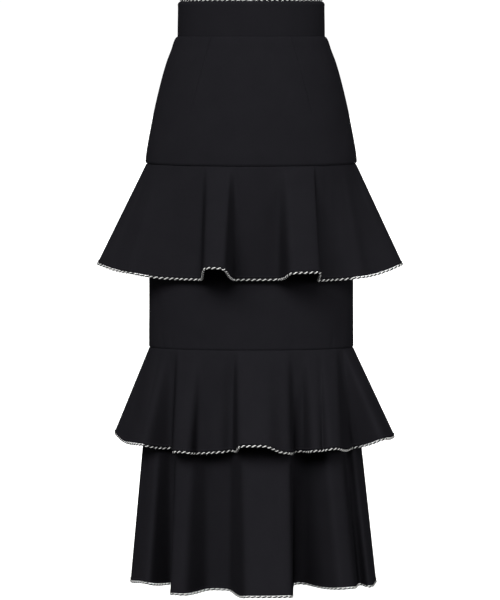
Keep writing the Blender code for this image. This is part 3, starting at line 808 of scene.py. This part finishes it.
def twisted_cord(name, line, closed, node):
    """Two plies wound round a line of (centre, out, down) frames that are evenly spaced."""
    length = sum((b[0] - a[0]).length for a, b in zip(line, line[1:]))
    turns = round(length / CORD_PITCH)
    count = turns * STEPS_A_PITCH
    for ply, start, radius, material in (
        ("white", 0.0, WHITE_PLY, cord_white), ("black", math.pi, BLACK_PLY, cord_black),
    ):
        wound = CORD_RADIUS - radius
        mesh = bmesh.new()
        uv = mesh.loops.layers.uv.new("ply")
        bmesh.ops.create_grid(
            mesh, x_segments=count, y_segments=PLY_SIDES, size=0.5, calc_uvs=True
        )
        for vertex in mesh.verts:
            along, round_ply = vertex.co.x + 0.5, 2 * math.pi * (vertex.co.y + 0.5)
            place = along * (len(line) - 1)
            low = min(int(place), len(line) - 2)
            part = place - low
            centre, out, down = (a.lerp(b, part) for a, b in zip(line[low], line[low + 1]))
            twist = start - 2 * math.pi * turns * along
            spoke = math.cos(twist) * out + math.sin(twist) * down
            ahead = out.cross(down).normalized()
            side = ahead.cross(spoke)
            lean = math.atan2(2 * math.pi * wound, CORD_PITCH)
            side = (side * math.cos(lean) + ahead * math.sin(lean)).normalized()
            vertex.co = centre + spoke * wound + radius * (
                math.cos(round_ply) * spoke + math.sin(round_ply) * side
            )
        for face in mesh.faces:
            for loop in face.loops:
                loop[uv].uv.x *= turns * 2
        bmesh.ops.remove_doubles(mesh, verts=mesh.verts, dist=1e-5)
        if not closed:
            ends = [edge for edge in mesh.edges if edge.is_boundary]
            bmesh.ops.holes_fill(mesh, edges=ends, sides=0)
        bmesh.ops.recalc_face_normals(mesh, faces=mesh.faces)
        data = bpy.data.meshes.new(f"{name}_{ply}")
        mesh.to_mesh(data)
        mesh.free()
        piece = bpy.data.objects.new(f"{name}_{ply}", data)
        bpy.context.scene.collection.objects.link(piece)
        settle(piece, material, "garment", "twisted_cord", *([node] if ply == "white" else []))


def even_line(frames, closed):
    """Frames resampled to even steps along their line, closed onto the first one."""
    if closed:
        frames = frames + frames[:1]
    run = [0.0]
    for here, there in zip(frames, frames[1:]):
        run.append(run[-1] + (there[0] - here[0]).length)
    count = round(run[-1] / CORD_STEP)
    line, at = [], 0
    for i in range(count + 1):
        wanted = run[-1] * i / count
        while at < len(run) - 2 and run[at + 1] < wanted:
            at += 1
        part = (wanted - run[at]) / (run[at + 1] - run[at])
        line.append(tuple(a.lerp(b, part) for a, b in zip(frames[at], frames[at + 1])))
    return line


for name, (flounce, surface) in flounces.items():
    frames = []
    for step in range(0, HEM_STEPS, 2):
        out = facing(surface, step, 1.0)
        down = (surface(step, 1.0) - surface(step, 0.98)).normalized()
        centre = surface(step, 1.0) - out * CLOTH / 2 + down * (CORD_RADIUS + SEAM_GAP)
        frames.append((centre, out, down))
    twisted_cord(f"cord_{name}", even_line(frames, True), True, f"hem_cord_{name}")

frames = []
for i in range(361):
    angle = CORD_END * (i / 180 - 1)
    section = BAND._replace(height=CORD_HEIGHT)
    centre = ring_point(section, angle, CORD_INSET)
    out = (centre - ring_point(section, angle, CORD_INSET + 0.01)).normalized()
    frames.append((centre, out, Vector((0, 0, -1))))
twisted_cord("cord_waist", even_line(frames, False), False, "waist_cord")


# The hem stitches: small black machine stitches, 2.4 mm long, in the ditch above each hem
# cord, which hold the cord's allowance up inside the flounce.
STITCH_LENGTH = 0.0024
STITCH_PITCH = 0.0031
STITCH_RADIUS = 0.00019
THREAD = ((0.010, 0.010, 0.011), (0.022, 0.022, 0.024))


def thread_finish():
    made, shader, place = finish("black_thread", {"Specular IOR Level": 0.3})
    ply = place.noise(place, 5200.0, 2.0)
    tree = made.node_tree
    tree.links.new(ply.between(*THREAD).socket, shader.inputs["Base Color"])
    tree.links.new((0.55 + 0.2 * ply).socket, shader.inputs["Roughness"])
    return made


thread = thread_finish()


def row_of_dashes(name, line, length, radius, material, slot):
    """Round-ended dashes, one at each (centre, out, along) frame of a line, as one piece."""
    mesh = bmesh.new()
    stretch = Matrix.Diagonal((length / 2 / radius, 1, 0.8, 1))
    bmesh.ops.create_uvsphere(mesh, u_segments=6, v_segments=4, radius=radius, matrix=stretch)
    points = len(mesh.verts)
    while len(mesh.verts) < points * len(line):
        bmesh.ops.duplicate(mesh, geom=mesh.verts[:] + mesh.edges[:] + mesh.faces[:])
    bmesh.ops.delete(mesh, geom=mesh.verts[points * len(line):], context="VERTS")
    for i, vertex in enumerate(mesh.verts):
        centre, out, along = line[i // points]
        side = out.cross(along).normalized()
        vertex.co = centre + vertex.co.x * along + vertex.co.y * side + vertex.co.z * out
    bmesh.ops.recalc_face_normals(mesh, faces=mesh.faces)
    data = bpy.data.meshes.new(name)
    mesh.to_mesh(data)
    mesh.free()
    piece = bpy.data.objects.new(name, data)
    bpy.context.scene.collection.objects.link(piece)
    settle(piece, material, "garment", slot)


for name, (flounce, surface) in flounces.items():
    run, wanted, line = 0.0, 0.0, []
    share = 1 - STITCH_ABOVE / flounce.length
    before = surface(0, share)
    for step in range(HEM_STEPS):
        here = surface(step, share)
        run += (here - before).length
        before = here
        if run >= wanted:
            out = facing(surface, step, share)
            along = (surface(step + 1, share) - surface(step - 1, share)).normalized()
            line.append((here + out * (hem_relief(STITCH_ABOVE) + STITCH_RADIUS / 2), out, along))
            wanted += STITCH_PITCH
    row_of_dashes(f"stitches_{name}", line, STITCH_LENGTH, STITCH_RADIUS, thread, "crepe")


# The concealed zip at centre back: two woven tapes inside the seam, each with a nylon coil
# along its edge, and on the outside a small lacquered slider with a hanging pull tab.
TAPE_BLACK = ((0.010, 0.010, 0.011), (0.022, 0.022, 0.024))
ZIP_TOP = BAND_TOP - 0.006
ZIP_LENGTH = 0.200
TAPE_CLOTH = 0.0010
TAPE_CLEAR = 0.0013
COIL_WIDTH = 0.0022
COIL_DEPTH = 0.0018
COIL_PITCH = 0.0014
COIL_WIRE = 0.00045
COIL_PARTING = 0.0003
COIL_STAGGER = 0.25
LACQUER_BLACK = ((0.012, 0.012, 0.013), (0.040, 0.040, 0.043))
NYLON_BLACK = ((0.008, 0.008, 0.009), (0.020, 0.020, 0.021))


def woven_tape():
    """Herringbone polyester tape: narrow slanting ribs along the zip."""
    made, shader, place = finish("zip_tape_weave", {"Specular IOR Level": 0.3})
    ribs = place.add(
        "ShaderNodeTexWave", {"wave_type": "BANDS", "bands_direction": "Z"},
        {"Vector": place, "Scale": 260.0, "Distortion": 0.8, "Detail": 2.0}, output=1,
    )
    cross = place.add(
        "ShaderNodeTexWave", {"wave_type": "BANDS", "bands_direction": "X"},
        {"Vector": place, "Scale": 330.0, "Distortion": 0.4}, output=1,
    )
    weave = 0.6 * ribs + 0.4 * cross
    tree = made.node_tree
    tree.links.new(weave.between(*TAPE_BLACK).socket, shader.inputs["Base Color"])
    tree.links.new((0.6 + 0.25 * weave).socket, shader.inputs["Roughness"])
    relief = place.add("ShaderNodeBump", {}, {"Strength": 0.5, "Distance": 0.0002, "Height": weave})
    tree.links.new(relief.socket, shader.inputs["Normal"])
    return made


def lacquer():
    """Black lacquer on cast zinc, rubbed a little brighter along its worn places."""
    made, shader, place = finish("zip_lacquer", {"Metallic": 0.4, "Coat Weight": 0.4})
    rub = place.noise(place, 900.0, 3.0, 0.6)
    tree = made.node_tree
    tree.links.new(rub.between(*LACQUER_BLACK).socket, shader.inputs["Base Color"])
    tree.links.new((0.25 + 0.25 * rub).socket, shader.inputs["Roughness"])
    return made


def nylon_coil():
    """Black nylon monofilament: smooth, with a faint mould bloom."""
    made, shader, place = finish("zip_coil_nylon", {"Specular IOR Level": 0.45})
    bloom = place.noise(place, 1400.0, 2.0)
    tree = made.node_tree
    tree.links.new(bloom.between(*NYLON_BLACK).socket, shader.inputs["Base Color"])
    tree.links.new((0.30 + 0.2 * bloom).socket, shader.inputs["Roughness"])
    return made


tape_weave = woven_tape()
zip_lacquer = lacquer()
zip_coil = nylon_coil()
for node, material in (
    ("zip_tape_left", tape_weave), ("zip_tape_right", tape_weave),
    ("zip_slider", zip_lacquer), ("zip_pull", zip_lacquer),
):
    cad_node = bpy.data.objects[node]
    cad_node.data.materials.clear()
    cad_node.data.materials.append(material)


def coil_face(height):
    """Where the inner face of the zip's coils lies at a height, on the centre-back line."""
    inside = BAND.back_depth - BAND_CLOTH
    if height <= WAIST_SEAM + 0.004:
        hip_inside = body_section(height).back_depth - CLOTH
        inside = min(hip_inside, inside + max(0.0, WAIST_SEAM - 0.004 - height))
    return inside - TAPE_CLEAR - TAPE_CLOTH - COIL_DEPTH


for side, name in ((1, "left"), (-1, "right")):
    line = []
    for turn in range(1, int(ZIP_LENGTH / COIL_PITCH)):
        height = ZIP_TOP - COIL_PITCH * (turn - side * COIL_STAGGER)
        across = side * (COIL_PARTING + COIL_WIDTH / 2)
        centre = Vector((across, coil_face(height), height))
        line.append((centre, Vector((0, -1, 0)), Vector((1, 0, 0))))
    row_of_dashes(f"zip_coil_{name}", line, COIL_WIDTH, COIL_WIRE, zip_coil, "zip_tape")


# The stage: a plain pale floor under the hanging skirt, a plain white surround, and soft
# studio lights in front, at the sides and behind. The surround and floor only back the view.
FLOOR_HEIGHT = -1.04
FLOOR_RADIUS = 60.0
SURROUND_RADIUS = 70.0
STUDIO_GREY = (0.04, 0.04, 0.04)
FLOOR_PAINT = (0.80, 0.80, 0.80)
FLOOR_GLOW = 0.75
SURROUND_PAINT = (0.0, 0.0, 0.0)
SURROUND_GLOW = 1.05
Light = namedtuple("Light", "name azimuth elevation strength softness")
LIGHTS = (
    Light("key", -25, 32, 2.2, 25),
    Light("front", 2, 28, 1.6, 25),
    Light("fill_right", 68, 8, 1.2, 25),
    Light("fill_left", -75, 4, 0.45, 25),
    Light("back_left", 158, 30, 1.7, 40),
    Light("back_right", 202, 30, 1.7, 40),
)


def stage_piece(name, mesh, paint, glow):
    """A floor or backdrop that only backs the view and throws no light on the skirt."""
    data = bpy.data.meshes.new(name)
    mesh.to_mesh(data)
    mesh.free()
    made = bpy.data.objects.new(name, data)
    bpy.context.scene.collection.objects.link(made)
    material, _, _ = finish(f"{name}_paint", {
        "Base Color": (*paint, 1.0), "Roughness": 0.9, "Specular IOR Level": 0.0,
        "Emission Color": (1.0, 1.0, 1.0, 1.0), "Emission Strength": glow,
    })
    data.materials.append(material)
    made.visible_diffuse = False
    made.visible_glossy = False
    made.visible_shadow = False


mesh = bmesh.new()
bmesh.ops.create_circle(mesh, cap_ends=True, segments=96, radius=FLOOR_RADIUS)
bmesh.ops.translate(mesh, verts=mesh.verts, vec=Vector((0, 0, FLOOR_HEIGHT)))
stage_piece("floor", mesh, FLOOR_PAINT, FLOOR_GLOW)
mesh = bmesh.new()
bmesh.ops.create_uvsphere(mesh, u_segments=48, v_segments=24, radius=SURROUND_RADIUS)
bmesh.ops.reverse_faces(mesh, faces=mesh.faces)
stage_piece("surround", mesh, SURROUND_PAINT, SURROUND_GLOW)

for light in LIGHTS:
    sun = bpy.data.lights.new(light.name, "SUN")
    sun.energy = light.strength
    sun.angle = math.radians(light.softness)
    lamp = bpy.data.objects.new(light.name, sun)
    turn, rise = math.radians(light.azimuth), math.radians(light.elevation)
    towards = Vector(
        (math.sin(turn) * math.cos(rise), -math.cos(turn) * math.cos(rise), math.sin(rise))
    )
    lamp.rotation_mode = "QUATERNION"
    lamp.rotation_quaternion = towards.to_track_quat("Z", "Y")
    bpy.context.scene.collection.objects.link(lamp)

world = bpy.data.worlds.new("studio")
world.use_nodes = True
world.node_tree.nodes["Background"].inputs["Color"].default_value = (*STUDIO_GREY, 1.0)
bpy.context.scene.world = world
bpy.context.scene.view_settings.view_transform = "Standard"


# The camera: straight in front, just below the waist, far off, and aimed at the skirt's middle.
CAMERA_DISTANCE = 5.5
CAMERA_HEIGHT = -0.07
FOCAL = 3480.6
IMAGE_WIDTH, IMAGE_HEIGHT = 500, 600
AIM_DOWN = math.atan2(235.1, 3465.7)
CENTRE_SHIFT = -1.2

lens = bpy.data.cameras.new("camera")
lens.sensor_width = 36.0
lens.lens = lens.sensor_width * FOCAL / IMAGE_HEIGHT
lens.shift_x = CENTRE_SHIFT / IMAGE_HEIGHT
lens.clip_end = 200.0
camera = bpy.data.objects.new("camera", lens)
camera.location = (0, -CAMERA_DISTANCE, CAMERA_HEIGHT)
camera.rotation_euler = (math.pi / 2 - AIM_DOWN, 0, 0)
bpy.context.scene.collection.objects.link(camera)
bpy.context.scene.camera = camera
